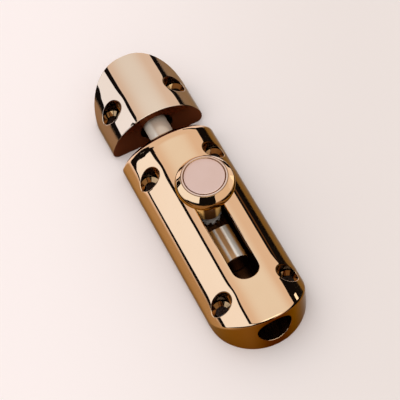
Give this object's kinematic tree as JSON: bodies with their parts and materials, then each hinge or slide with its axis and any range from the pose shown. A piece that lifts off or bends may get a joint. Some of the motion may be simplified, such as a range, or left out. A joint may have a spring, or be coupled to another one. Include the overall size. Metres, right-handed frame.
{
  "type": "surface bolt latch",
  "caption": "Half-round polished brass surface latch: a round steel bolt with a thumb knob slides from a slotted casing into a matching keeper.",
  "frame": {"origin": "middle of the footprint on the mounting face that casing and keeper share, with the bolt home in the keeper", "axes": "+X along the bolt, from the casing's tail towards the keeper; +Y to the left; +Z out of the door, along the knob's neck"},
  "size_m": [0.1024, 0.03, 0.0295],
  "materials": {
    "rose_brass": "mirror polished",
    "knob_brass": "mirror polished",
    "cap_brass": "satin",
    "bolt_steel": "satin",
    "fastener_steel": "bright plated"
  },
  "bodies": {
    "fixed_parts": {"casing": "rose_brass", "keeper": "rose_brass"},
    "bolt": {"bolt_rod": "bolt_steel", "knob": "knob_brass", "knob_cap": "cap_brass", "knob_screw": "fastener_steel", "plain_washer": "fastener_steel", "tooth_washer": "fastener_steel"}
  },
  "joints": [
    {"name": "bolt_slide", "type": "slide", "parent": "fixed_parts", "child": "bolt", "axis": [-1, 0, 0], "range_m": [0, 0.0238]}
  ]
}
